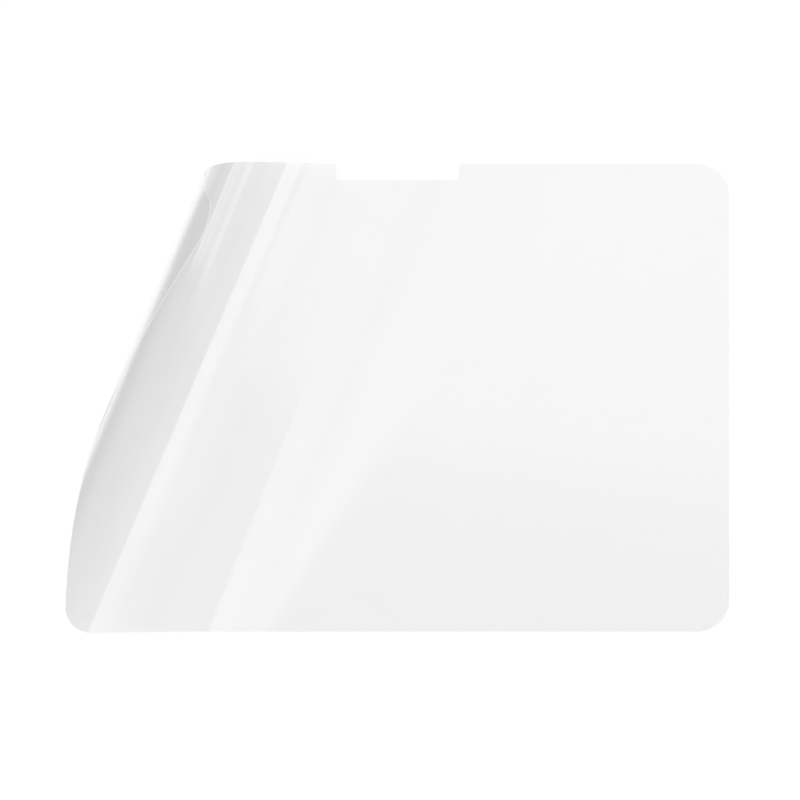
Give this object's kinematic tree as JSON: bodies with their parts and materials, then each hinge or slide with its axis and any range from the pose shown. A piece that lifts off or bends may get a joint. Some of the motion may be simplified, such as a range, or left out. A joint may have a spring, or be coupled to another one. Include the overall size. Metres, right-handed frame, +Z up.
{
  "type": "tablet screen protector",
  "caption": "Clear rectangular screen film with rounded corners and a camera notch, flat with one end curled up and over.",
  "frame": {"origin": "middle of the film's rectangular outline, on its underside, which is the face that sticks to the glass", "axes": "+X along the film's long side away from the curled end, +Y towards the long edge with the camera notch, +Z up out of the film"},
  "size_m": [0.2409, 0.1715, 0.062],
  "materials": {
    "clear_film": "high-gloss clear"
  },
  "bodies": {
    "root": {"film": "clear_film"}
  },
  "joints": []
}
